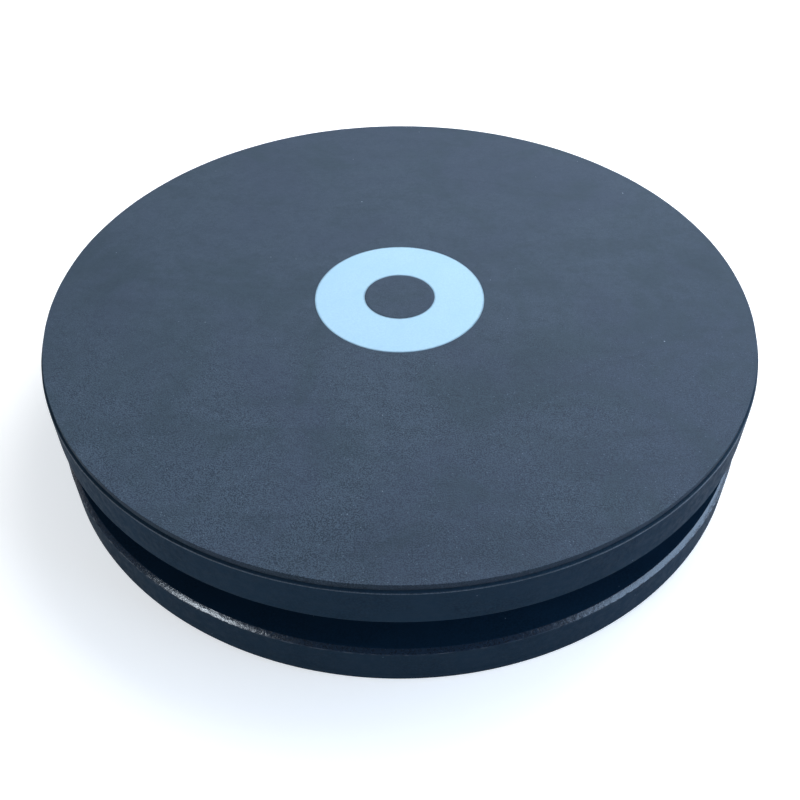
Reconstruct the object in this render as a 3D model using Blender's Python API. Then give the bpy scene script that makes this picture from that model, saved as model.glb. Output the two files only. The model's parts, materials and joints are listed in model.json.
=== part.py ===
"""Round tilting balance pad: two discs held apart by a universal joint, with
four rubber springs that bring the standing platform back to level.

Metres, +Z up. The origin is on the floor, under the centre of the pad.
-Y is the front, +X the right-hand side. Run with
    blender --background --python part.py
"""
import math

import bpy
import bmesh
from mathutils import Matrix, Vector

MM = 0.001

# ---- driving dimensions, in millimetres -------------------------------------
PLATE_R = 200.0        # both discs are 400 mm across
FOOT_OUT = 1.0         # how far the rubber feet stand out below the base
BASE_T = 23.6          # base disc thickness
GAP = 25.4             # open gap between the discs
TOP_T = 22.0           # platform disc thickness
MAT_R = 198.5          # the mat is let in 1.5 mm from the platform's edge
MAT_T = 3.9
TOUCH = 0.3            # gap left between pieces that rest on each other
BASE_CHAMFER_R = 2.4   # worn 45 degree chamfer on the base's top edge
BASE_CHAMFER_Z = 2.0
ARRIS = 0.8            # small broken edge on the platform

MARK_RO = 48.5         # plain ring that marks the centre of the mat
MARK_RI = 20.0
MARK_T = 0.6

POCKET_R = 44.0        # pockets that take the joint's flanges
FLANGE_R = 43.0
FLANGE_T = 5.0
FLANGE_TO_PIVOT = 17.0 # from the pivot's centre to a flange's inner face
FLANGE_BOLT_R = 33.0   # radius of the circle of the four M6 bolts
LUG_IN, LUG_OUT = 16.0, 26.0
LUG_R = 12.0
BUSH_RO, BUSH_RI = 8.7, 6.62
SHOULDER_R = 6.5       # pivot screw's shoulder
BLOCK_HALF = 14.0

SPRING_AT = 95.0       # rubber springs, one on each tilt axis, both ways
SPRING_R = 17.0
SPRING_WAIST = 15.0
SPRING_PLATE_R = 18.0
SPRING_PLATE_T = 2.5
STUD_R = 4.0

STOP_AT = 160.0        # rubber stops, one on each tilt axis, both ways
STOP_R = 13.0
STOP_TOP_R = 9.5
STOP_H = 10.5

FOOT_AT = 182.0
FOOT_R = 14.0
FOOT_T = 2.5
FEET = 6

DISC_SEG = 96

# ---- heights that follow -----------------------------------------------------
Z_BASE0 = FOOT_OUT
Z_BASE1 = Z_BASE0 + BASE_T
Z_TOP0 = Z_BASE1 + GAP
Z_TOP1 = Z_TOP0 + TOP_T
Z_MAT0 = Z_TOP1 + TOUCH
Z_MAT1 = Z_MAT0 + MAT_T
Z_PIVOT = (Z_BASE1 + Z_TOP0) / 2
Z_LOW_FLANGE1 = Z_PIVOT - FLANGE_TO_PIVOT
Z_LOW_FLANGE0 = Z_LOW_FLANGE1 - FLANGE_T
Z_LOW_POCKET = Z_LOW_FLANGE0 - TOUCH
Z_UP_FLANGE0 = Z_PIVOT + FLANGE_TO_PIVOT
Z_UP_FLANGE1 = Z_UP_FLANGE0 + FLANGE_T
Z_UP_POCKET = Z_UP_FLANGE1 + TOUCH

for old in list(bpy.data.objects):
    bpy.data.objects.remove(old)


# ---- materials ---------------------------------------------------------------
def material(name, colour, roughness, metallic=0.0):
    m = bpy.data.materials.new(name)
    m.use_nodes = True
    shader = m.node_tree.nodes["Principled BSDF"]
    shader.inputs["Base Color"].default_value = (*colour, 1.0)
    shader.inputs["Roughness"].default_value = roughness
    shader.inputs["Metallic"].default_value = metallic
    m.diffuse_color = (*colour, 1.0)
    return m


BLACK_BOARD = material("black_painted_board", (0.0100, 0.0232, 0.0409), 0.55)
MAT_RUBBER = material("slate_blue_mat", (0.061, 0.095, 0.144), 0.85)
MARK_PAINT = material("pale_blue_print", (0.468, 0.737, 0.922), 0.6)
RUBBER = material("black_rubber", (0.012, 0.012, 0.013), 0.8)
ZINC = material("zinc_plated_steel", (0.56, 0.57, 0.58), 0.35, 1.0)
CAST = material("black_coated_steel", (0.030, 0.031, 0.033), 0.45, 0.6)
BRONZE = material("sintered_bronze", (0.42, 0.26, 0.11), 0.4, 1.0)


# ---- mesh helpers ------------------------------------------------------------
def lathe_into(bm, profile, segments, place):
    """Turns a closed (radius, height) outline about the Z axis, then moves it by place."""
    rings = []
    for r, z in profile:
        if r < 1e-9:
            rings.append([bm.verts.new(place @ Vector((0.0, 0.0, z * MM)))])
        else:
            ring = []
            for k in range(segments):
                a = 2 * math.pi * k / segments
                ring.append(bm.verts.new(place @ Vector((r * MM * math.cos(a), r * MM * math.sin(a), z * MM))))
            rings.append(ring)
    n = len(profile)
    for i in range(n):
        a, b = rings[i], rings[(i + 1) % n]
        if len(a) == 1 and len(b) == 1:
            continue
        for k in range(segments):
            k2 = (k + 1) % segments
            if len(a) == 1:
                bm.faces.new((a[0], b[k], b[k2]))
            elif len(b) == 1:
                bm.faces.new((a[k], b[0], a[k2]))
            else:
                bm.faces.new((a[k], b[k], b[k2], a[k2]))


def prism_into(bm, outline, low, high, place):
    """Extrudes a closed (x, y) outline from low to high along Z, then moves it by place."""
    bottom = [bm.verts.new(place @ Vector((x * MM, y * MM, low * MM))) for x, y in outline]
    face = bm.faces.new(bottom)
    grown = bmesh.ops.extrude_face_region(bm, geom=[face])
    top = [v for v in grown["geom"] if isinstance(v, bmesh.types.BMVert)]
    up = (place.to_3x3() @ Vector((0.0, 0.0, 1.0))) * (high - low) * MM
    bmesh.ops.translate(bm, verts=top, vec=up)


def finish(bm, name):
    bmesh.ops.remove_doubles(bm, verts=bm.verts, dist=1e-7)
    bmesh.ops.recalc_face_normals(bm, faces=bm.faces)
    mesh = bpy.data.meshes.new(name)
    bm.to_mesh(mesh)
    bm.free()
    mesh.shade_smooth()
    mesh.set_sharp_from_angle(angle=math.radians(32))
    return mesh


def turned(name, profile, segments, place=Matrix.Identity(4)):
    bm = bmesh.new()
    lathe_into(bm, profile, segments, place)
    return finish(bm, name)


def shift(x=0.0, y=0.0, z=0.0):
    return Matrix.Translation((x * MM, y * MM, z * MM))


def polar(radius, degrees):
    a = math.radians(degrees)
    return radius * math.cos(a), radius * math.sin(a)


# Z of a turned shape laid along +X, and turned on about Z for the other sides
ALONG_X = Matrix.Rotation(math.radians(90), 4, "Y")


def empty(name, x, y, z, parent=None):
    e = bpy.data.objects.new(name, None)
    e.empty_display_size = 0.03
    bpy.context.scene.collection.objects.link(e)
    e.parent = parent
    e.location = Vector((x, y, z)) * MM - (parent_origin(parent) if parent else Vector())
    return e


def parent_origin(p):
    total = Vector()
    while p is not None:
        total += p.location
        p = p.parent
    return total


def add(name, mesh, mat, parent, at=(0.0, 0.0, 0.0)):
    """An object whose own origin is at that place (millimetres), under its parent empty."""
    o = bpy.data.objects.new(name, mesh)
    bpy.context.scene.collection.objects.link(o)
    if not mesh.materials:
        mesh.materials.append(mat)
    o.parent = parent
    o.location = Vector(at) * MM - parent_origin(parent)
    return o


def cut(target, cutter_bm, name):
    """Cuts target with everything in cutter_bm, given in world millimetres times MM."""
    mesh = finish(cutter_bm, name)
    c = bpy.data.objects.new(name, mesh)
    bpy.context.scene.collection.objects.link(c)
    c.hide_render = True
    c.display_type = "WIRE"
    m = target.modifiers.new(name, "BOOLEAN")
    m.operation = "DIFFERENCE"
    m.solver = "EXACT"
    m.object = c
    return c


def join(target, mesh, name):
    c = bpy.data.objects.new(name, mesh)
    bpy.context.scene.collection.objects.link(c)
    c.hide_render = True
    c.display_type = "WIRE"
    m = target.modifiers.new(name, "BOOLEAN")
    m.operation = "UNION"
    m.solver = "EXACT"
    m.object = c
    return c


# ---- the three moving groups ---------------------------------------------------
base = empty("base_group", 0, 0, 0)
cross = empty("front_back_tilt_axis", 0, 0, Z_PIVOT, base)      # turns about X on the base
platform = empty("left_right_tilt_axis", 0, 0, Z_PIVOT, cross)  # turns about Y on the cross

SIDES = (("right", 0), ("back", 90), ("left", 180), ("front", 270))
CORNERS = (("back_right", 45), ("back_left", 135), ("front_left", 225), ("front_right", 315))

# ---- base disc -----------------------------------------------------------------
base_plate = add(
    "base_plate",
    turned(
        "base_plate",
        [
            (0, Z_BASE0),
            (PLATE_R - 1.0, Z_BASE0),
            (PLATE_R, Z_BASE0 + 1.0),
            (PLATE_R, Z_BASE1 - BASE_CHAMFER_Z),
            (PLATE_R - BASE_CHAMFER_R, Z_BASE1),
            (0, Z_BASE1),
        ],
        DISC_SEG,
    ),
    BLACK_BOARD,
    base,
)
Z_SPRING_SEAT = Z_BASE1 - SPRING_PLATE_T - TOUCH
Z_NUT_SEAT = 9.5
Z_BOLT_SEAT = 8.0
bm = bmesh.new()
lathe_into(bm, [(0, Z_LOW_POCKET), (POCKET_R, Z_LOW_POCKET), (POCKET_R, Z_BASE1 + 1.4), (0, Z_BASE1 + 1.4)], 40, Matrix.Identity(4))
cut(base_plate, bm, "cut_base_pocket")
bm = bmesh.new()
for _, deg in SIDES:
    x, y = polar(SPRING_AT, deg)
    # seat for the spring's plate, hole for its stud and recess for its nut
    lathe_into(
        bm,
        [
            (0, -1.0), (9.5, -1.0), (9.5, Z_NUT_SEAT), (STUD_R + 0.4, Z_NUT_SEAT),
            (STUD_R + 0.4, Z_SPRING_SEAT), (SPRING_PLATE_R + 0.6, Z_SPRING_SEAT),
            (SPRING_PLATE_R + 0.6, Z_BASE1 + 1.4), (0, Z_BASE1 + 1.4),
        ],
        20,
        shift(x, y),
    )
    # screw hole under each rubber stop
    x, y = polar(STOP_AT, deg)
    lathe_into(bm, [(0, 7.0), (2.5, 7.0), (2.5, Z_BASE1 + 1.4), (0, Z_BASE1 + 1.4)], 8, shift(x, y))
for _, deg in CORNERS:
    x, y = polar(FLANGE_BOLT_R, deg)
    lathe_into(
        bm,
        [(0, -1.0), (6.0, -1.0), (6.0, Z_BOLT_SEAT), (3.4, Z_BOLT_SEAT), (3.4, Z_LOW_POCKET + 1.0), (0, Z_LOW_POCKET + 1.0)],
        12,
        shift(x, y),
    )
for k in range(FEET):
    x, y = polar(FOOT_AT, 30 + 60 * k)
    lathe_into(bm, [(0, -1.0), (FOOT_R + 0.5, -1.0), (FOOT_R + 0.5, FOOT_T + TOUCH), (0, FOOT_T + TOUCH)], 20, shift(x, y))
cut(base_plate, bm, "cut_base_holes")

# ---- rubber feet, let into the underside ------------------------------------------
foot_mesh = turned(
    "rubber_foot",
    [(0, 0), (FOOT_R - 0.8, 0), (FOOT_R, 0.8), (FOOT_R, FOOT_T), (0, FOOT_T)],
    20,
)
for k in range(FEET):
    x, y = polar(FOOT_AT, 30 + 60 * k)
    add(f"rubber_foot_{k + 1}", foot_mesh, RUBBER, base, (x, y, 0))


# ---- universal joint -----------------------------------------------------------------
def yoke(name, parent, along, flange0, flange1, away):
    """Round flange with two eyed lugs. along is 'X' or 'Y', the axis its lugs carry;
    away is +1 where the lugs stand up from the flange and -1 where they hang."""
    hole = 3.3 if away > 0 else 3.4
    o = add(
        name,
        turned(
            name,
            [(0, flange0), (FLANGE_R, flange0), (FLANGE_R, flange1), (0, flange1)],
            40,
        ),
        CAST,
        parent,
    )
    o.data.transform(Matrix.Translation((0, 0, -parent_origin(parent).z)))
    o.location = (0, 0, 0)
    foot = (flange1 - 2.0 if away > 0 else flange0 + 2.0) - Z_PIVOT
    rise = 15.0 * (1 if away > 0 else -1)
    outline = [(-16.5, foot), (-16.5, -rise * 1.02), (-LUG_R, -rise * 0.62), (-LUG_R, 0)]
    steps = 8
    outline += [
        (-LUG_R * math.cos(math.pi * k / steps), LUG_R * math.sin(math.pi * k / steps) * (1 if away > 0 else -1))
        for k in range(1, steps)
    ]
    outline += [(LUG_R, 0), (LUG_R, -rise * 0.62), (16.5, -rise * 1.02), (16.5, foot)]
    # outline's x runs across the lug and its y up it; the lug is LUG_OUT - LUG_IN thick
    stand = Matrix(((0, 0, 1, 0), (1, 0, 0, 0), (0, 1, 0, 0), (0, 0, 0, 1)))
    spin = Matrix.Identity(4) if along == "X" else Matrix.Rotation(math.radians(90), 4, "Z")
    for k, sign in enumerate((1, -1)):
        bm = bmesh.new()
        low, high = (LUG_IN, LUG_OUT) if sign > 0 else (-LUG_OUT, -LUG_IN)
        prism_into(bm, outline, low, high, shift(0, 0, Z_PIVOT) @ spin @ stand)
        join(o, finish(bm, f"{name}_lug_{k}"), f"{name}_lug_{k}")
    bm = bmesh.new()
    lathe_into(
        bm,
        [(0, -LUG_OUT - 2), (BUSH_RO + 0.3, -LUG_OUT - 2), (BUSH_RO + 0.3, LUG_OUT + 2), (0, LUG_OUT + 2)],
        20,
        shift(0, 0, Z_PIVOT) @ spin @ ALONG_X,
    )
    for _, deg in CORNERS:
        x, y = polar(FLANGE_BOLT_R, deg)
        lathe_into(bm, [(0, flange0 - 1), (hole, flange0 - 1), (hole, flange1 + 1), (0, flange1 + 1)], 12, shift(x, y))
    cut(o, bm, f"cut_{name}_holes")
    return o


yoke("lower_yoke", base, "X", Z_LOW_FLANGE0, Z_LOW_FLANGE1, 1)
yoke("upper_yoke", platform, "Y", Z_UP_FLANGE0, Z_UP_FLANGE1, -1)

# flanged bush for one lug, laid along +X from the pivot's centre
bush_profile = [
    (BUSH_RI, LUG_OUT - 0.2), (BUSH_RI, LUG_IN - 1.6), (11.0, LUG_IN - 1.6),
    (11.0, LUG_IN - TOUCH), (BUSH_RO, LUG_IN - TOUCH), (BUSH_RO, LUG_OUT - 0.2),
]
# shoulder screw: thread in the block, shoulder in the bush, socket head outside
pin_profile = [
    (0, 6.5), (STUD_R, 6.5), (STUD_R, BLOCK_HALF + TOUCH), (SHOULDER_R, BLOCK_HALF + TOUCH),
    (SHOULDER_R, LUG_OUT + 0.4), (10.0, LUG_OUT + 0.4), (10.0, LUG_OUT + 4.2),
    (3.4, LUG_OUT + 4.2), (3.4, LUG_OUT + 2.0), (0, LUG_OUT + 2.0),
]
for side, deg in SIDES:
    spin = Matrix.Rotation(math.radians(deg), 4, "Z") @ ALONG_X
    holder, word = (base, "lower") if side in ("right", "left") else (platform, "upper")
    add(f"{word}_bush_{side}", turned("bush_" + side, bush_profile, 20, spin), BRONZE, holder, (0, 0, Z_PIVOT))
    add(f"pivot_screw_{side}", turned("pivot_screw_" + side, pin_profile, 20, spin), ZINC, cross, (0, 0, Z_PIVOT))

bm = bmesh.new()
bmesh.ops.create_cube(bm, size=1.0)
bmesh.ops.scale(bm, vec=(2 * BLOCK_HALF * MM, 2 * BLOCK_HALF * MM, 24.0 * MM), verts=bm.verts)
bmesh.ops.bevel(bm, geom=[e for e in bm.edges], offset=2.0 * MM, segments=1, profile=0.5, affect="EDGES")
cross_block = add("cross_block", finish(bm, "cross_block"), CAST, cross, (0, 0, Z_PIVOT))
bm = bmesh.new()
for _, deg in SIDES:
    lathe_into(
        bm,
        [(0, 5.6), (STUD_R + 0.3, 5.6), (STUD_R + 0.3, BLOCK_HALF + 2), (0, BLOCK_HALF + 2)],
        20,
        shift(0, 0, Z_PIVOT) @ Matrix.Rotation(math.radians(deg), 4, "Z") @ ALONG_X,
    )
cut(cross_block, bm, "cut_block_holes")

# ---- flange bolts -------------------------------------------------------------------
# M6 socket screws, up through the base into the lower flange
low_bolt = turned(
    "lower_yoke_bolt",
    [(0, 3.7), (2.6, 3.7), (2.6, 1.7), (5.0, 1.7), (5.0, 7.7), (3.0, 7.7), (3.0, Z_LOW_FLANGE1 - 0.3), (0, Z_LOW_FLANGE1 - 0.3)],
    12,
)
# and up through the upper flange into threaded inserts in the platform
up_bolt = turned(
    "upper_yoke_bolt",
    [(0, -2.3), (2.6, -2.3), (2.6, -4.3), (5.0, -4.3), (5.0, -TOUCH), (3.0, -TOUCH), (3.0, FLANGE_T + 9.0), (0, FLANGE_T + 9.0)],
    12,
)
insert = turned(
    "threaded_insert",
    [(3.4, 0), (5.0, 0), (5.0, 9.6), (3.4, 9.6)],
    12,
)
for corner, deg in CORNERS:
    x, y = polar(FLANGE_BOLT_R, deg)
    add(f"lower_yoke_bolt_{corner}", low_bolt, ZINC, base, (x, y, 0))
    add(f"upper_yoke_bolt_{corner}", up_bolt, ZINC, platform, (x, y, Z_UP_FLANGE0))
    add(f"threaded_insert_{corner}", insert, BRONZE, platform, (x, y, Z_UP_POCKET))

# ---- rubber springs with bonded steel plates -------------------------------------------
SH = GAP - 2 * TOUCH
spring_profile = [(0, 0), (SPRING_R, 0), (SPRING_R, 2.4)]
for k in range(1, 6):
    t = k / 6
    spring_profile.append((SPRING_R - (SPRING_R - SPRING_WAIST) * math.sin(math.pi * t), 2.4 + (SH - 4.8) * t))
spring_profile += [(SPRING_R, SH - 2.4), (SPRING_R, SH), (0, SH)]
spring_mesh = turned("rubber_spring", spring_profile, 20)
low_plate = turned(
    "spring_lower_plate",
    [(0, 1.9), (STUD_R, 1.9), (STUD_R, Z_BASE1 - SPRING_PLATE_T), (SPRING_PLATE_R, Z_BASE1 - SPRING_PLATE_T), (SPRING_PLATE_R, Z_BASE1), (0, Z_BASE1)],
    20,
)
up_plate = turned(
    "spring_upper_plate",
    [(0, 0), (SPRING_PLATE_R, 0), (SPRING_PLATE_R, SPRING_PLATE_T), (STUD_R, SPRING_PLATE_T), (STUD_R, 16.5), (0, 16.5)],
    20,
)
bm = bmesh.new()
hexagon = [(7.5 * math.cos(math.radians(60 * k)), 7.5 * math.sin(math.radians(60 * k))) for k in range(6)]
prism_into(bm, hexagon, 2.6, 9.2, Matrix.Identity(4))
nut_blank = finish(bm, "nut_blank")
for side, deg in SIDES:
    x, y = polar(SPRING_AT, deg)
    add(f"rubber_spring_{side}", spring_mesh, RUBBER, base, (x, y, Z_BASE1 + TOUCH))
    add(f"spring_lower_plate_{side}", low_plate, ZINC, base, (x, y, 0))
    add(f"spring_upper_plate_{side}", up_plate, ZINC, platform, (x, y, Z_TOP0))
    nut = add(f"spring_nut_{side}", nut_blank.copy(), ZINC, base, (x, y, 0))
    bm = bmesh.new()
    lathe_into(bm, [(0, 1.0), (STUD_R + 0.3, 1.0), (STUD_R + 0.3, 11.0), (0, 11.0)], 20, shift(x, y))
    cut(nut, bm, f"cut_nut_{side}")

# ---- rubber stops that end the tilt ------------------------------------------------------
stop_profile = [
    (2.6, 0), (STOP_R, 0), (STOP_R, 4.0), (STOP_TOP_R, STOP_H),
    (5.5, STOP_H + 0.9), (5.5, 4.0), (2.6, 4.0),
]
stop_mesh = turned("rubber_stop", stop_profile, 20)
stop_screw = turned(
    "stop_screw",
    [(0, -16.0), (2.2, -16.0), (2.2, 4.3), (4.6, 4.3), (4.6, 7.2), (0, 7.2)],
    12,
)
for side, deg in SIDES:
    x, y = polar(STOP_AT, deg)
    add(f"rubber_stop_{side}", stop_mesh, RUBBER, base, (x, y, Z_BASE1 + TOUCH))
    add(f"stop_screw_{side}", stop_screw, ZINC, base, (x, y, Z_BASE1 + TOUCH))

# ---- platform disc ----------------------------------------------------------------------
top_plate = add(
    "top_plate",
    turned(
        "top_plate",
        [
            (0, Z_TOP0),
            (PLATE_R - ARRIS, Z_TOP0),
            (PLATE_R, Z_TOP0 + ARRIS),
            (PLATE_R, Z_TOP1 - ARRIS),
            (PLATE_R - ARRIS, Z_TOP1),
            (0, Z_TOP1),
        ],
        DISC_SEG,
    ),
    BLACK_BOARD,
    platform,
)
bm = bmesh.new()
lathe_into(bm, [(0, Z_TOP0 - 1.4), (POCKET_R, Z_TOP0 - 1.4), (POCKET_R, Z_UP_POCKET), (0, Z_UP_POCKET)], 40, Matrix.Identity(4))
cut(top_plate, bm, "cut_platform_pocket")
bm = bmesh.new()
for _, deg in SIDES:
    x, y = polar(SPRING_AT, deg)
    lathe_into(
        bm,
        [
            (0, Z_TOP0 - 1.4), (SPRING_PLATE_R + 0.6, Z_TOP0 - 1.4), (SPRING_PLATE_R + 0.6, Z_TOP0 + SPRING_PLATE_T + TOUCH),
            (STUD_R + 0.4, Z_TOP0 + SPRING_PLATE_T + TOUCH), (STUD_R + 0.4, Z_TOP0 + 17.0), (0, Z_TOP0 + 17.0),
        ],
        20,
        shift(x, y),
    )
for _, deg in CORNERS:
    x, y = polar(FLANGE_BOLT_R, deg)
    lathe_into(bm, [(0, Z_UP_POCKET - 1.4), (5.3, Z_UP_POCKET - 1.4), (5.3, Z_UP_POCKET + 9.9), (0, Z_UP_POCKET + 9.9)], 12, shift(x, y))
top_plate.data.transform(Matrix.Translation((0, 0, -Z_PIVOT * MM)))
top_plate.location = (0, 0, 0)
cut(top_plate, bm, "cut_platform_holes")

# ---- mat and its centre mark ----------------------------------------------------------------
top_mat = add(
    "top_mat",
    turned(
        "top_mat",
        [(0, Z_MAT0), (MAT_R, Z_MAT0), (MAT_R, Z_MAT1 - 0.4), (MAT_R - 0.4, Z_MAT1), (0, Z_MAT1)],
        DISC_SEG,
        shift(0, 0, -Z_PIVOT),
    ),
    MAT_RUBBER,
    platform,
    (0, 0, Z_PIVOT),
)
bm = bmesh.new()
lathe_into(
    bm,
    [
        (MARK_RI - TOUCH, Z_MAT1 - MARK_T - TOUCH), (MARK_RO + TOUCH, Z_MAT1 - MARK_T - TOUCH),
        (MARK_RO + TOUCH, Z_MAT1 + 1.4), (MARK_RI - TOUCH, Z_MAT1 + 1.4),
    ],
    48,
    Matrix.Identity(4),
)
cut(top_mat, bm, "cut_mark_seat")
add(
    "centre_mark",
    turned(
        "centre_mark",
        [(MARK_RI, Z_MAT1 - MARK_T), (MARK_RO, Z_MAT1 - MARK_T), (MARK_RO, Z_MAT1), (MARK_RI, Z_MAT1)],
        48,
        shift(0, 0, -Z_PIVOT),
    ),
    MARK_PAINT,
    platform,
    (0, 0, Z_PIVOT),
)

bpy.context.view_layer.update()
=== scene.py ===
"""Looks of the balance pad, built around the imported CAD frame. Sizes are in millimetres until a mesh is made."""
import json
import math

import bmesh
import bpy
import numpy as np
from mathutils import Matrix, Vector, noise


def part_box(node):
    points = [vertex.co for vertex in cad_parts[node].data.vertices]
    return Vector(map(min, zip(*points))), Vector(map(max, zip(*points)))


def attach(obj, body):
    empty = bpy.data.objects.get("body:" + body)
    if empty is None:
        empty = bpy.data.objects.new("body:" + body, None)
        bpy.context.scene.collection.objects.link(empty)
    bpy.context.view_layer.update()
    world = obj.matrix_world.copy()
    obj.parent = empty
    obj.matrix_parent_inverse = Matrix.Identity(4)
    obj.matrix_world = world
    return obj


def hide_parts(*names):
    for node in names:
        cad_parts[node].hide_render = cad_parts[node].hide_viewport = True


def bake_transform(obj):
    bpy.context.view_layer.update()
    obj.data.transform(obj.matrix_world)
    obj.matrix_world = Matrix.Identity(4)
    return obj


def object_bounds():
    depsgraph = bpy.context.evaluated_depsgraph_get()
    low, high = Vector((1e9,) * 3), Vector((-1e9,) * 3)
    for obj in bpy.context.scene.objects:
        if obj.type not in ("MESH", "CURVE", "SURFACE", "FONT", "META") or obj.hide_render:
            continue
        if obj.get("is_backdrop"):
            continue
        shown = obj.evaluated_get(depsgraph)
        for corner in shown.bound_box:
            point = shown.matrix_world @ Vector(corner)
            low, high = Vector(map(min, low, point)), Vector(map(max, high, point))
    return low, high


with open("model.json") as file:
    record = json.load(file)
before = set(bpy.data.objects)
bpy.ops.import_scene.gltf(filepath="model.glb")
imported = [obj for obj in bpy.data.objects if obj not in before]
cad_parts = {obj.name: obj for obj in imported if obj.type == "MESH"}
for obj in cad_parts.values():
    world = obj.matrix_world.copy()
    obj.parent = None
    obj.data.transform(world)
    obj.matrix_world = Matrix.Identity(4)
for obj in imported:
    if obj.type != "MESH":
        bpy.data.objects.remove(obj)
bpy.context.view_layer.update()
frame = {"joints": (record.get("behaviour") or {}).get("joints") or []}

MM = 0.001
IDENTITY = Matrix.Identity(4)


def top(node):
    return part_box(node)[1].z / MM


def bottom(node):
    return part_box(node)[0].z / MM


def half_width(node):
    low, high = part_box(node)
    return (high.x - low.x) / 2 / MM


def centre(node):
    low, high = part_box(node)
    return (low + high) / 2 / MM


# ---- places and sizes, most read from the frame ------------------------------------
PLATE_R = half_width("base_plate")
Z_BASE0, Z_BASE1 = bottom("base_plate"), top("base_plate")
Z_TOP0, Z_TOP1 = bottom("top_plate"), top("top_plate")
MAT_R = half_width("top_mat")
Z_MAT0, Z_MAT1 = bottom("top_mat"), top("top_mat")
MARK_R = half_width("centre_mark")
MARK_RI = 20.0
Z_MARK0 = bottom("centre_mark")
PIVOT = Vector(frame["joints"][0]["pos_m"]) / MM
Z_PIVOT = PIVOT.z
SPRING_AT = centre("rubber_spring_right").x
STOP_AT = centre("rubber_stop_right").x
BOLT_AT = math.hypot(centre("lower_yoke_bolt_back_right").x, centre("lower_yoke_bolt_back_right").y)
FLANGE_R = half_width("lower_yoke")
POCKET_R = FLANGE_R + 1.0
Z_LOW_FLANGE0 = bottom("lower_yoke")
Z_UP_FLANGE1 = top("upper_yoke")
FLANGE_T = 5.0
Z_LOW_FLANGE1 = Z_LOW_FLANGE0 + FLANGE_T
Z_UP_FLANGE0 = Z_UP_FLANGE1 - FLANGE_T
CHAMFER_R, CHAMFER_Z = 2.4, 2.0
SIDES = (("right", 0), ("back", 90), ("left", 180), ("front", 270))
CORNERS = (("back_right", 45), ("back_left", 135), ("front_left", 225), ("front_right", 315))


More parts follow.
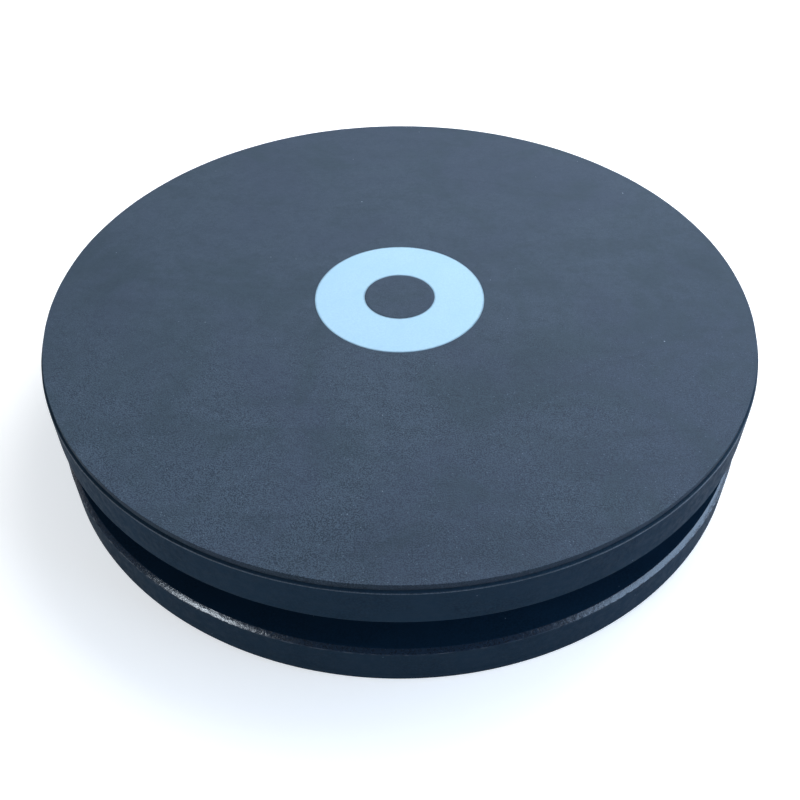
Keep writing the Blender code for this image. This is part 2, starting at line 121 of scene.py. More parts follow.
# ---- materials ----------------------------------------------------------------------
class Finish:
    """A Principled material built from nodes, with short names for the nodes it uses."""

    def __init__(self, name, roughness=0.5, metallic=0.0, specular=0.5, **sockets):
        self.material = bpy.data.materials.new(name)
        self.material.use_nodes = True
        self.tree = self.material.node_tree
        self.tree.nodes.clear()
        out = self.tree.nodes.new("ShaderNodeOutputMaterial")
        self.shader = self.tree.nodes.new("ShaderNodeBsdfPrincipled")
        self.tree.links.new(self.shader.outputs[0], out.inputs[0])
        self.place = self.tree.nodes.new("ShaderNodeTexCoord").outputs["Object"]
        self.put("Roughness", roughness)
        self.put("Metallic", metallic)
        self.put("Specular IOR Level", specular)
        for key, value in sockets.items():
            self.put(key.replace("_", " "), value)

    def put(self, socket, value):
        target = self.shader.inputs[socket]
        if isinstance(value, bpy.types.NodeSocket):
            self.tree.links.new(value, target)
        elif isinstance(value, (tuple, list)) and len(value) == 3 and len(target.default_value) == 4:
            target.default_value = (*value, 1.0)
        else:
            target.default_value = value

    def feed(self, node, index, value):
        if isinstance(value, bpy.types.NodeSocket):
            self.tree.links.new(value, node.inputs[index])
        elif isinstance(value, (tuple, list)) and len(value) == 3 and len(node.inputs[index].default_value) == 4:
            node.inputs[index].default_value = (*value, 1.0)
        else:
            node.inputs[index].default_value = value

    def noise(self, scale, detail=2.0, roughness=0.5, distortion=0.0, where=None):
        n = self.tree.nodes.new("ShaderNodeTexNoise")
        self.feed(n, "Vector", where or self.place)
        self.feed(n, "Scale", scale)
        self.feed(n, "Detail", detail)
        self.feed(n, "Roughness", roughness)
        self.feed(n, "Distortion", distortion)
        return n.outputs["Fac"]

    def cells(self, scale, where=None, randomness=1.0):
        """(distance to the nearest point, a random number for its cell)"""
        n = self.tree.nodes.new("ShaderNodeTexVoronoi")
        self.feed(n, "Vector", where or self.place)
        self.feed(n, "Scale", scale)
        self.feed(n, "Randomness", randomness)
        split = self.tree.nodes.new("ShaderNodeSeparateColor")
        self.tree.links.new(n.outputs["Color"], split.inputs[0])
        return n.outputs["Distance"], split.outputs[0]

    def stretch(self, scale, rotation=(0, 0, 0)):
        n = self.tree.nodes.new("ShaderNodeMapping")
        self.tree.links.new(self.place, n.inputs["Vector"])
        n.inputs["Scale"].default_value = scale
        n.inputs["Rotation"].default_value = rotation
        return n.outputs[0]

    def calc(self, operation, a, b=0.0, c=0.0, clamp=False):
        n = self.tree.nodes.new("ShaderNodeMath")
        n.operation = operation
        n.use_clamp = clamp
        self.feed(n, 0, a)
        self.feed(n, 1, b)
        self.feed(n, 2, c)
        return n.outputs[0]

    def between(self, value, low, high, out_low=0.0, out_high=1.0):
        n = self.tree.nodes.new("ShaderNodeMapRange")
        n.interpolation_type = "SMOOTHSTEP"
        self.feed(n, 0, value)
        for i, v in enumerate((low, high, out_low, out_high)):
            self.feed(n, i + 1, v)
        return n.outputs[0]

    def mix(self, share, a, b, blend="MIX"):
        n = self.tree.nodes.new("ShaderNodeMix")
        n.data_type = "RGBA"
        n.blend_type = blend
        self.feed(n, 0, share)
        self.feed(n, 6, a)
        self.feed(n, 7, b)
        return n.outputs[2]

    def radius_and_height(self):
        split = self.tree.nodes.new("ShaderNodeSeparateXYZ")
        self.tree.links.new(self.place, split.inputs[0])
        x, y, z = split.outputs
        return self.calc("SQRT", self.calc("ADD", self.calc("MULTIPLY", x, x), self.calc("MULTIPLY", y, y))), z

    def xyz(self):
        split = self.tree.nodes.new("ShaderNodeSeparateXYZ")
        self.tree.links.new(self.place, split.inputs[0])
        return split.outputs

    def relief(self, *layers):
        """Each layer is (height, strength, distance in metres)."""
        normal = None
        for height, strength, distance in layers:
            n = self.tree.nodes.new("ShaderNodeBump")
            self.feed(n, "Height", height)
            n.inputs["Strength"].default_value = strength
            n.inputs["Distance"].default_value = distance
            if normal is not None:
                self.tree.links.new(normal, n.inputs["Normal"])
            normal = n.outputs[0]
        self.put("Normal", normal)


def specks(f, scale, size, share, where=None):
    """1 on sparse round specks: cells of 1/scale metres, size as a share of a cell, on that share of the cells."""
    distance, pick = f.cells(scale, where)
    dot = f.between(distance, size, size * 0.45)
    return f.calc("MULTIPLY", dot, f.calc("GREATER_THAN", pick, 1.0 - share))


def shade(colour, k):
    return tuple(min(1.0, c * k) for c in colour)


def board_paint(name, colour, specular=0.1, roughness=0.6, grain=1.0):
    """Rolled blue-black paint on fibreboard: fine orange peel, faint blotches, a few specks of dust."""
    f = Finish(name, specular=specular)
    fine = f.noise(900.0, 3.0, 0.65)
    peel = f.noise(260.0, 2.0, 0.5)
    blotch = f.noise(24.0, 3.0, 0.55, 0.4)
    streak = f.noise(1.0, 2.0, 0.6, where=f.stretch((70.0, 70.0, 900.0)))
    base = f.mix(f.between(fine, 0.3, 0.72), shade(colour, 0.80), shade(colour, 1.26))
    base = f.mix(f.between(blotch, 0.35, 0.7), base, shade(colour, 1.16))
    base = f.mix(f.calc("MULTIPLY", f.between(streak, 0.5, 0.8), 0.16), base, shade(colour, 1.6))
    dust = specks(f, 120.0, 0.05, 0.30)
    base = f.mix(f.calc("MULTIPLY", dust, 0.55), base, (0.10, 0.13, 0.17))
    f.put("Base Color", base)
    f.put("Roughness", f.between(peel, 0.25, 0.75, roughness - 0.07, roughness + 0.1))
    f.relief((peel, 0.25 * grain, 0.0004), (fine, 0.30 * grain, 0.00012), (dust, 0.3, 0.0002))
    return f.material


def worn_and_highlit_arris(name, colour, light, specular=0.35, roughness=0.38):
    """The platform's broken edge: paint rubbed thin, and lightened in colour as a painted highlight along the arris."""
    f = Finish(name, specular=specular)
    fine = f.noise(1100.0, 3.0, 0.7)
    broad = f.noise(38.0, 3.0, 0.6)
    # the lighter colour is part rubbed paint, part painted highlight on the arris
    rub_and_highlight = f.calc("MULTIPLY", f.between(fine, 0.30, 0.62), f.between(broad, 0.30, 0.62, 0.45, 1.0))
    f.put("Base Color", f.mix(rub_and_highlight, colour, light))
    f.put("Roughness", f.between(fine, 0.2, 0.8, roughness - 0.06, roughness + 0.14))
    f.relief((broad, 0.2, 0.0005), (fine, 0.35, 0.00015))
    return f.material


def broken_chamfer(name):
    """The base's chamfer: torn fibreboard under thick paint, coarse and semi-gloss."""
    f = Finish(name, specular=0.46)
    coarse = f.noise(620.0, 3.0, 0.62, 0.3)
    fine = f.noise(1900.0, 2.0, 0.6)
    broad = f.noise(45.0, 2.0, 0.5)
    dark, mid, light = (0.0026, 0.0096, 0.0212), (0.0046, 0.0150, 0.0315), (0.050, 0.072, 0.103)
    base = f.mix(f.between(coarse, 0.36, 0.62), dark, mid)
    chips = f.calc("MULTIPLY", f.between(coarse, 0.58, 0.70), f.between(broad, 0.42, 0.62, 0.15, 1.0))
    # a lighter line along the outer edge: painted highlight on the arris, broken up where the paint is knocked off
    _, z = f.radius_and_height()
    ragged = f.calc("ADD", z, f.calc("MULTIPLY", f.calc("SUBTRACT", f.noise(900.0, 2.0), 0.5), 0.0007))
    rim = f.calc("MULTIPLY", f.between(ragged, (Z_BASE1 - 1.62) * MM, (Z_BASE1 - 1.95) * MM), f.between(broad, 0.3, 0.6, 0.35, 1.0))
    base = f.mix(f.calc("MAXIMUM", f.calc("MULTIPLY", chips, 0.10), f.calc("MULTIPLY", rim, 0.34)), base, light)
    f.put("Base Color", base)
    f.put("Roughness", f.between(fine, 0.25, 0.75, 0.17, 0.28))
    f.relief((coarse, 0.6, 0.00020), (fine, 0.5, 0.00004))
    return f.material


def mat_rubber(name, tone=1.0, gloss=0.22, sheen=0.10):
    """Slate-blue foam rubber: fine closed grain, faint wiped patches and sparse dust."""
    f = Finish(name, specular=gloss, Sheen_Weight=sheen, Sheen_Roughness=0.5)
    f.put("Sheen Tint", (0.62, 0.74, 0.88))
    grain = f.noise(1500.0, 2.0, 0.6)
    pore_distance, pore_pick = f.cells(1800.0)
    clumps = f.noise(330.0, 3.0, 0.6)
    patch = f.noise(7.0, 4.0, 0.60, 1.2)
    other = f.noise(13.0, 3.0, 0.60, 1.5, where=f.stretch((1.0, 1.0, 1.0), (0.0, 0.0, 1.9)))
    wiped = f.noise(1.0, 3.0, 0.6, 0.6, where=f.stretch((16.0, 52.0, 20.0), (0.0, 0.0, 0.6)))
    low, high = shade((0.0260, 0.0490, 0.0810), tone), shade((0.1070, 0.1580, 0.2240), tone)
    # feet have worn the grain smoother in the middle; it's crisp along the front
    _, y, _ = f.xyz()
    crisp = f.between(y, 0.03, -0.18, 0.30, 2.15)
    grain = f.calc("ADD", f.calc("MULTIPLY", f.calc("SUBTRACT", grain, 0.5), crisp), 0.5)
    base = f.mix(f.between(grain, 0.32, 0.68), low, high)
    base = f.mix(f.between(clumps, 0.42, 0.62, 0.0, 0.22), base, shade(low, 1.12))
    cloud = f.noise(115.0, 2.0, 0.5)
    base = f.mix(f.between(cloud, 0.38, 0.64, 0.0, 0.16), base, shade(high, 1.0))
    base = f.mix(f.between(patch, 0.40, 0.62, 0.0, 0.36), base, shade((0.0580, 0.0840, 0.1440), tone))
    base = f.mix(f.between(other, 0.45, 0.66, 0.0, 0.42), base, shade((0.0420, 0.0780, 0.1060), tone))
    base = f.mix(f.between(wiped, 0.48, 0.72, 0.0, 0.34), base, shade((0.0420, 0.0730, 0.1050), tone))
    # the rubber is darker in a few soft patches, along the front, left and right and in front of the centre: (x, y,
    # half length, half width, share) in millimetres
    for sx, sy, half, width, share in ((4, -180, 92, 26, 0.62), (-176, 6, 30, 80, 0.42), (172, 34, 34, 84, 0.34), (62, -76, 66, 44, 0.26)):
        x, y, _ = f.xyz()
        dx, dy = f.calc("DIVIDE", f.calc("SUBTRACT", x, sx * MM), half * MM), f.calc("DIVIDE", f.calc("SUBTRACT", y, sy * MM), width * MM)
        away = f.calc("SQRT", f.calc("ADD", f.calc("MULTIPLY", dx, dx), f.calc("MULTIPLY", dy, dy)))
        away = f.calc("ADD", away, f.calc("MULTIPLY", f.calc("SUBTRACT", patch, 0.5), 1.6))
        base = f.mix(f.between(away, 1.15, 0.25, 0.0, share), base, (0.76, 0.80, 0.81), "MULTIPLY")
    # a few faint scuffs, as shoes leave: (x, y, half length, bend, turn) in millimetres and degrees
    for sx, sy, half, bend, turn in ((8, -176, 62, 0.0009, 1), (-86, -98, 74, 0.0034, -34), (104, -62, 58, -0.0030, 27), (-40, 92, 66, 0.0022, 12), (70, 118, 44, -0.0026, -18)):
        ca, sa = math.cos(math.radians(turn)), math.sin(math.radians(turn))
        x, y, _ = f.xyz()
        dx, dy = f.calc("SUBTRACT", x, sx * MM), f.calc("SUBTRACT", y, sy * MM)
        along = f.calc("ADD", f.calc("MULTIPLY", dx, ca), f.calc("MULTIPLY", dy, sa))
        across = f.calc("SUBTRACT", f.calc("MULTIPLY", dy, ca), f.calc("MULTIPLY", dx, sa))
        across = f.calc("SUBTRACT", across, f.calc("MULTIPLY", f.calc("MULTIPLY", along, along), bend / MM))
        line = f.calc("MULTIPLY", f.between(f.calc("ABSOLUTE", across), 0.0016, 0.0002), f.between(f.calc("ABSOLUTE", along), half * MM, half * 0.6 * MM))
        line = f.calc("MULTIPLY", line, f.between(clumps, 0.35, 0.60, 0.35, 1.0))
        base = f.mix(f.calc("MULTIPLY", line, 0.16), base, shade((0.0300, 0.0520, 0.0800), tone))
    pores = f.calc("MULTIPLY", f.calc("MULTIPLY", f.between(pore_distance, 0.42, 0.12), f.between(pore_pick, 0.45, 0.9)), crisp, clamp=True)
    base = f.mix(f.calc("MULTIPLY", pores, 0.22), base, shade(low, 0.62))
    glints = f.calc("MULTIPLY", specks(f, 560.0, 0.20, 0.16), crisp, clamp=True)
    base = f.mix(f.calc("MULTIPLY", glints, 0.50), base, shade((0.250, 0.330, 0.430), tone))
    dust = f.calc("MAXIMUM", specks(f, 130.0, 0.042, 0.16), specks(f, 47.0, 0.026, 0.30))
    base = f.mix(f.calc("MULTIPLY", dust, 0.60), base, (0.36, 0.44, 0.52))
    f.put("Base Color", base)
    f.put("Roughness", f.between(grain, 0.25, 0.75, 0.68, 0.88))
    f.relief((clumps, 0.16, 0.0005), (grain, 0.42, 0.00028), (pores, -0.22, 0.00015), (dust, 0.35, 0.0003))
    return f.material


def mark_print(name, inner, outer):
    """Pale blue print, a little soft and grey at its rim, on the grain of the mat."""
    f = Finish(name, specular=0.25)
    radius, _ = f.radius_and_height()
    grain = f.noise(1150.0, 4.0, 0.7)
    broad = f.noise(60.0, 3.0, 0.5)
    pale, grey = (0.364, 0.557, 0.700), (0.150, 0.250, 0.330)
    wander = f.calc("MULTIPLY", f.calc("SUBTRACT", f.noise(420.0, 2.0), 0.5), 0.0006)
    radius = f.calc("ADD", radius, wander)
    rim = f.calc("MAXIMUM", f.between(radius, (outer - 1.25) * MM, outer * MM), f.between(radius, (inner + 1.25) * MM, inner * MM))
    base = f.mix(f.between(grain, 0.28, 0.72), shade(pale, 0.93), shade(pale, 1.05))
    base = f.mix(f.between(broad, 0.35, 0.75, 0.0, 0.35), base, (0.326, 0.529, 0.712))
    base = f.mix(f.calc("MULTIPLY", rim, 0.8), base, grey)
    dust = specks(f, 150.0, 0.05, 0.12)
    base = f.mix(f.calc("MULTIPLY", dust, 0.35), base, (0.16, 0.24, 0.32))
    f.put("Base Color", base)
    f.put("Roughness", f.between(grain, 0.25, 0.75, 0.58, 0.78))
    f.relief((grain, 0.28, 0.00018), (broad, 0.1, 0.0004))
    return f.material


def black_rubber(name, dusty=0.5):
    f = Finish(name, specular=0.35)
    fine = f.noise(1400.0, 3.0, 0.65)
    broad = f.noise(90.0, 3.0, 0.55, 0.3)
    base = f.mix(f.between(fine, 0.3, 0.7), (0.0095, 0.0100, 0.0110), (0.0190, 0.0195, 0.0210))
    base = f.mix(f.between(broad, 0.45, 0.75, 0.0, 0.5 * dusty), base, (0.045, 0.046, 0.048))
    dust = specks(f, 260.0, 0.06, 0.25)
    base = f.mix(f.calc("MULTIPLY", dust, 0.5), base, (0.16, 0.17, 0.18))
    f.put("Base Color", base)
    f.put("Roughness", f.between(broad, 0.3, 0.75, 0.52, 0.78))
    f.relief((broad, 0.12, 0.0004), (fine, 0.3, 0.00012))
    return f.material


def zinc_steel(name):
    f = Finish(name, metallic=1.0)
    fine = f.noise(1600.0, 3.0, 0.6)
    broad = f.noise(140.0, 3.0, 0.55, 0.6)
    turned = f.noise(1.0, 2.0, 0.5, where=f.stretch((60.0, 60.0, 3000.0)))
    base = f.mix(f.between(broad, 0.3, 0.7), (0.46, 0.47, 0.48), (0.62, 0.62, 0.60))
    base = f.mix(f.between(turned, 0.45, 0.75, 0.0, 0.4), base, (0.36, 0.38, 0.41))
    f.put("Base Color", base)
    f.put("Roughness", f.between(broad, 0.25, 0.75, 0.24, 0.42))
    f.relief((turned, 0.16, 0.0001), (fine, 0.12, 0.00006))
    return f.material


def coated_steel(name):
    f = Finish(name, specular=0.45)
    peel = f.noise(520.0, 2.0, 0.5)
    fine = f.noise(2200.0, 2.0, 0.6)
    broad = f.noise(60.0, 3.0, 0.5)
    base = f.mix(f.between(peel, 0.3, 0.7), (0.0170, 0.0175, 0.0185), (0.0270, 0.0275, 0.0290))
    base = f.mix(f.between(broad, 0.5, 0.8, 0.0, 0.35), base, (0.05, 0.051, 0.053))
    dust = specks(f, 300.0, 0.06, 0.2)
    base = f.mix(f.calc("MULTIPLY", dust, 0.5), base, (0.17, 0.18, 0.19))
    f.put("Base Color", base)
    f.put("Roughness", f.between(peel, 0.25, 0.75, 0.34, 0.52))
    f.relief((peel, 0.35, 0.00025), (fine, 0.15, 0.00006))
    return f.material


def bronze(name):
    f = Finish(name, metallic=1.0)
    pores, pick = f.cells(2400.0)
    broad = f.noise(180.0, 3.0, 0.55)
    base = f.mix(f.between(broad, 0.3, 0.7), (0.40, 0.235, 0.090), (0.53, 0.335, 0.150))
    base = f.mix(f.between(pores, 0.35, 0.1, 0.0, 0.45), base, (0.15, 0.085, 0.035))
    f.put("Base Color", base)
    f.put("Roughness", f.between(broad, 0.25, 0.75, 0.32, 0.5))
    f.relief((pores, 0.25, 0.00008), (broad, 0.1, 0.0002))
    return f.material


SIDE = (0.0072, 0.0180, 0.0318)
M_SIDE_TOP = board_paint("platform_side_paint", shade(SIDE, 1.0), specular=0.02)
# the base's side: the platform's side paint made 4% darker, painted shade
M_SIDE_BASE = board_paint("base_side_paint", shade(SIDE, 0.96), specular=0.02)
M_UNDER = board_paint("base_underside_paint", (0.0075, 0.0150, 0.0245), specular=0.12, roughness=0.55, grain=1.6)
# the ledge beside the mat: the side paint made about twice as light, painted light against the shade of the mat's edge
M_LEDGE_PAINTED_LIGHT = board_paint("platform_ledge_painted_light", (0.0150, 0.0325, 0.0540), specular=0.05)
# faces inside the gap and pockets: the paint made darker than the sides, painted shade for the gap between the plates
M_GAP_PAINTED_SHADE = board_paint("inner_face_painted_shade", (0.0040, 0.0145, 0.0300), specular=0.02, roughness=0.7)
M_ARRIS = worn_and_highlit_arris("platform_arris_paint_highlit", (0.0138, 0.025, 0.039), (0.053, 0.077, 0.109), 0.25)
M_CHAMFER = broken_chamfer("base_chamfer_paint")
M_MAT = mat_rubber("mat_foam_rubber", 0.545)
# the mat's cut edge: the same rubber at about half the tone, painted shade on the vertical side
M_MAT_EDGE_SHADED = mat_rubber("mat_cut_edge_painted_shade", 0.29, 0.10, 0.0)
M_MARK = mark_print("centre_mark_print", MARK_RI, MARK_R)
M_RUBBER = black_rubber("moulded_black_rubber")
M_ZINC = zinc_steel("bright_zinc")
M_COAT = coated_steel("black_powder_coat")
M_BRONZE = bronze("sintered_bronze_bush")


# ---- mesh helpers ----------------------------------------------------------------------
def soften(outline, steps=3, closed=False):
    """An outline of (radius, height, fillet) or (radius, height) corners, in millimetres, with each fillet drawn as an arc."""
    made = []
    n = len(outline)
    for i, corner in enumerate(outline):
        r = corner[2] if len(corner) > 2 else 0.0
        p = Vector(corner[:2])
        if r <= 0 or (not closed and i in (0, n - 1)):
            made.append((p.x, p.y))
            continue
        a, b = Vector(outline[i - 1][:2]) - p, Vector(outline[(i + 1) % n][:2]) - p
        half = a.angle(b) / 2
        reach = r / math.tan(half)
        reach = min(reach, 0.49 * a.length, 0.49 * b.length)
        r = reach * math.tan(half)
        middle = p + (a.normalized() + b.normalized()).normalized() * (r / math.sin(half))
        start, end = p + a.normalized() * reach - middle, p + b.normalized() * reach - middle
        sweep = math.atan2(start.x * end.y - start.y * end.x, start.dot(end))
        for k in range(steps + 1):
            t = sweep * k / steps
            c, s = math.cos(t), math.sin(t)
            made.append((middle.x + start.x * c - start.y * s, middle.y + start.x * s + start.y * c))
    return made


def lathe(name, profile, segments, place=IDENTITY, slots=None, phase=0.0):
    """A mesh turned about Z from a closed outline. slots gives each span's material index."""
    angle = 2 * math.pi * (np.arange(segments) + phase) / segments
    cos, sin = np.cos(angle), np.sin(angle)
    points, rings = [], []
    for r, z in profile:
        start = sum(len(p) for p in points)
        if r < 1e-9:
            points.append(np.array([[0.0, 0.0, z]]))
            rings.append((start, 1))
        else:
            points.append(np.stack([r * cos, r * sin, np.full(segments, float(z))], axis=1))
            rings.append((start, segments))
    xyz = np.concatenate(points) * MM
    faces, index = [], []
    for i in range(len(profile)):
        (a, na), (b, nb) = rings[i], rings[(i + 1) % len(profile)]
        if na == 1 and nb == 1:
            continue
        k = np.arange(segments)
        k2 = (k + 1) % segments
        if na == 1:
            quads = np.stack([np.full(segments, a), b + k, b + k2], axis=1)
        elif nb == 1:
            quads = np.stack([a + k, np.full(segments, b), a + k2], axis=1)
        else:
            quads = np.stack([a + k, b + k, b + k2, a + k2], axis=1)
        faces.extend(quads.tolist())
        index.extend([slots[i] if slots else 0] * len(quads))
    mesh = bpy.data.meshes.new(name)
    mesh.from_pydata(xyz.tolist(), [], faces)
    mesh.polygons.foreach_set("material_index", index)
    mesh.transform(place)
    bm = bmesh.new()
    bm.from_mesh(mesh)
    bmesh.ops.recalc_face_normals(bm, faces=bm.faces)
    bm.to_mesh(mesh)
    bm.free()
    return mesh


def prism(name, outline, low, high, place=IDENTITY):
    bm = bmesh.new()
    base = [bm.verts.new((x * MM, y * MM, low * MM)) for x, y in outline]
    grown = bmesh.ops.extrude_face_region(bm, geom=[bm.faces.new(base)])
    bmesh.ops.translate(bm, verts=[v for v in grown["geom"] if isinstance(v, bmesh.types.BMVert)], vec=(0, 0, (high - low) * MM))
    bmesh.ops.recalc_face_normals(bm, faces=bm.faces)
    mesh = bpy.data.meshes.new(name)
    bm.to_mesh(mesh)
    bm.free()
    mesh.transform(place)
    return mesh


def piece(name, mesh, *materials):
    o = bpy.data.objects.new(name, mesh)
    bpy.context.scene.collection.objects.link(o)
    for m in materials:
        mesh.materials.append(m)
    return o


def settle(o):
    """Applies the object's modifiers."""
    bpy.context.view_layer.update()
    graph = bpy.context.evaluated_depsgraph_get()
    mesh = bpy.data.meshes.new_from_object(o.evaluated_get(graph), preserve_all_data_layers=True, depsgraph=graph)
    old = o.data
    o.modifiers.clear()
    o.data = mesh
    mesh.name = o.name
    bpy.data.meshes.remove(old)


def boolean(o, mesh, operation="DIFFERENCE", material_index=None):
    """Cuts, joins or keeps the overlap with mesh, and applies it at once."""
    for m in o.data.materials:
        mesh.materials.append(m)
    if material_index is not None:
        mesh.polygons.foreach_set("material_index", [material_index] * len(mesh.polygons))
    c = bpy.data.objects.new(o.name + "_tool", mesh)
    bpy.context.scene.collection.objects.link(c)
    m = o.modifiers.new("tool", "BOOLEAN")
    m.operation = operation
    m.solver = "EXACT"
    m.object = c
    settle(o)
    bpy.data.objects.remove(c)
    bpy.data.meshes.remove(mesh)


def merged(meshes, name):
    """One mesh that holds these separate closed bodies."""
    bm = bmesh.new()
    for mesh in meshes:
        bm.from_mesh(mesh)
        bpy.data.meshes.remove(mesh)
    mesh = bpy.data.meshes.new(name)
    bm.to_mesh(mesh)
    bm.free()
    return mesh


def bevel(o, width, segments=2, angle=35):
    m = o.modifiers.new("bevel", "BEVEL")
    m.width = width * MM
    m.segments = segments
    m.limit_method = "ANGLE"
    m.angle_limit = math.radians(angle)
    m.use_clamp_overlap = True
    settle(o)


def smooth(o, angle=32, weighted=True):
    o.data.shade_smooth()
    o.data.set_sharp_from_angle(angle=math.radians(angle))
    if weighted:
        m = o.modifiers.new("weighted", "WEIGHTED_NORMAL")
        m.keep_sharp = True
        m.weight = 80


def stands(o, body, slot, *nodes):
    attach(o, body)
    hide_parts(*nodes)
    return o


def shift(x=0.0, y=0.0, z=0.0):
    return Matrix.Translation((x * MM, y * MM, z * MM))


def polar(radius, degrees):
    a = math.radians(degrees)
    return radius * math.cos(a), radius * math.sin(a)


def wobble(x, y, z, size, seed=0.0):
    """Smooth noise from -1 to 1 with features about size millimetres wide."""
    return noise.noise(Vector((x / size + seed, y / size - seed, z / size + 3.1 * seed)))


def hexagon(across):
    r = across / math.sqrt(3)
    return [polar(r, 60 * k + 30) for k in range(6)]


ALONG_X = Matrix.Rotation(math.radians(90), 4, "Y")


def about_z(degrees):
    return Matrix.Rotation(math.radians(degrees), 4, "Z")


# ---- platform disc ------------------------------------------------------------------------
outline = soften(
    [
        (0, Z_TOP0), (PLATE_R - 6.0, Z_TOP0), (PLATE_R - 1.2, Z_TOP0), (PLATE_R, Z_TOP0, 0.55),
        (PLATE_R, Z_TOP1, 0.5), (PLATE_R - 0.85, Z_TOP1), (MAT_R - 4.0, Z_TOP1), (0, Z_TOP1),
    ],
    steps=4,
)
# spans: the underside, then the edge below it, the side, the arris and the top
spans = []
for (r0, z0), (r1, z1) in zip(outline, outline[1:] + outline[:1]):
    mid_z, mid_r = (z0 + z1) / 2, (r0 + r1) / 2
    if mid_z < Z_TOP0 + 0.02:
        spans.append(1)
    elif mid_z > Z_TOP1 - 0.005:
        spans.append(3 if mid_r > MAT_R - 4.1 else 0)
    elif mid_z > Z_TOP1 - 0.5 and mid_r > PLATE_R - 0.5:
        spans.append(2)
    else:
        spans.append(0)
platform_disc = piece("platform_disc", lathe("platform_disc", outline, 480, slots=spans), M_SIDE_TOP, M_GAP_PAINTED_SHADE, M_ARRIS, M_LEDGE_PAINTED_LIGHT)
cutters = [
    lathe("c", soften([(0, Z_TOP0 - 3), (POCKET_R + 0.6, Z_TOP0 - 3), (POCKET_R + 0.6, Z_TOP0 - 0.001), (POCKET_R, Z_TOP0 + 0.6), (POCKET_R, Z_UP_FLANGE1 + 0.3, 0.5), (0, Z_UP_FLANGE1 + 0.3)]), 96)
]
boolean(platform_disc, merged(cutters, "c"), material_index=1)
cutters = []
for _, deg in SIDES:
    x, y = polar(SPRING_AT, deg)
    cutters.append(
        lathe("c", [(0, Z_TOP0 - 3), (18.9, Z_TOP0 - 3), (18.9, Z_TOP0 + 0.2), (18.6, Z_TOP0 + 0.5), (18.6, Z_TOP0 + 2.8), (4.4, Z_TOP0 + 2.8), (4.4, Z_TOP0 + 17), (0, Z_TOP0 + 17)], 64, shift(x, y))
    )
for _, deg in CORNERS:
    x, y = polar(BOLT_AT, deg)
    cutters.append(lathe("c", [(0, Z_UP_FLANGE1 - 1), (5.3, Z_UP_FLANGE1 - 1), (5.3, Z_UP_FLANGE1 + 10.2), (0, Z_UP_FLANGE1 + 10.2)], 32, shift(x, y)))
boolean(platform_disc, merged(cutters, "c"), material_index=1)
# the sanded side isn't quite true, and the arris was broken by hand
for v in platform_disc.data.vertices:
    x, y, z = v.co / MM
    r = math.hypot(x, y)
    if r < PLATE_R - 3.0:
        continue
    d = 0.05 * wobble(x, y, z, 36.0, 1.0) + 0.035 * wobble(x, y, z * 2, 9.0, 2.0) - 0.06
    drop = 0.0
    if z > Z_TOP1 - 0.95:
        d += 0.09 * wobble(x, y, 0, 14.0, 3.0) - 0.05
        drop = 0.05 * wobble(x, y, 0, 11.0, 4.0) - 0.05
    k = (r + d) / r
    v.co = Vector((x * k, y * k, z + (drop if r > PLATE_R - 1.3 else 0.0))) * MM
smooth(platform_disc, 40)
stands(platform_disc, "platform", "black_painted_board", "top_plate")

# ---- base disc ------------------------------------------------------------------------------
ROWS = 9
SEG_BASE = 1600
inner = (PLATE_R - CHAMFER_R, Z_BASE1)
outer = (PLATE_R, Z_BASE1 - CHAMFER_Z)
chamfer = []
for k in range(ROWS + 1):
    t = k / ROWS
    bulge = 0.11 * math.sin(math.pi * t)
    chamfer.append((outer[0] + (inner[0] - outer[0]) * t + 0.64 * bulge, outer[1] + (inner[1] - outer[1]) * t + 0.77 * bulge))
low_edge = soften([(0, Z_BASE0), (PLATE_R, Z_BASE0, 0.9), outer], steps=3)
side_rows = [(PLATE_R, Z_BASE0 + (outer[1] - Z_BASE0) * t) for t in (0.15, 0.5, 0.8, 0.93, 0.975)]
outline = [(0, Z_BASE0), (PLATE_R - 9.0, Z_BASE0), (PLATE_R - 2.0, Z_BASE0)] + low_edge[1:-1] + side_rows + chamfer + [(PLATE_R - 2.7, Z_BASE1), (PLATE_R - 3.1, Z_BASE1), (PLATE_R - 9.0, Z_BASE1), (0, Z_BASE1)]
spans = []
for (r0, z0), (r1, z1) in zip(outline, outline[1:] + outline[:1]):
    mid_z, mid_r = (z0 + z1) / 2, (r0 + r1) / 2
    if mid_z > Z_BASE1 - 0.001:
        spans.append(2 if mid_r > inner[0] else 1)
    elif mid_z > outer[1] and mid_r > inner[0]:
        spans.append(2)
    elif mid_z < Z_BASE0 + 0.001:
        spans.append(3)
    else:
        spans.append(0)
base_disc = piece("base_disc", lathe("base_disc", outline, SEG_BASE, slots=spans), M_SIDE_BASE, M_GAP_PAINTED_SHADE, M_CHAMFER, M_UNDER)
boolean(
    base_disc,
    lathe("c", soften([(0, Z_LOW_FLANGE0 - 0.3), (POCKET_R, Z_LOW_FLANGE0 - 0.3, 0.5), (POCKET_R, Z_BASE1 - 0.6), (POCKET_R + 0.6, Z_BASE1 + 0.001), (POCKET_R + 0.6, Z_BASE1 + 3), (0, Z_BASE1 + 3)]), 96),
    material_index=1,
)
cutters = []
for _, deg in SIDES:
    x, y = polar(SPRING_AT, deg)
    cutters.append(
        lathe(
            "c",
            [
                (0, -1), (9.9, -1), (9.9, Z_BASE0 + 0.1), (9.5, Z_BASE0 + 0.5), (9.5, 9.5), (4.4, 9.5), (4.4, Z_BASE1 - 2.8),
                (18.6, Z_BASE1 - 2.8), (18.6, Z_BASE1 - 0.5), (18.9, Z_BASE1 - 0.2), (18.9, Z_BASE1 + 2), (0, Z_BASE1 + 2),
            ],
            64,
            shift(x, y),
        )
    )
    x, y = polar(STOP_AT, deg)
    cutters.append(lathe("c", [(0, 7.0), (2.5, 7.0), (2.5, Z_BASE1 + 2), (0, Z_BASE1 + 2)], 20, shift(x, y)))
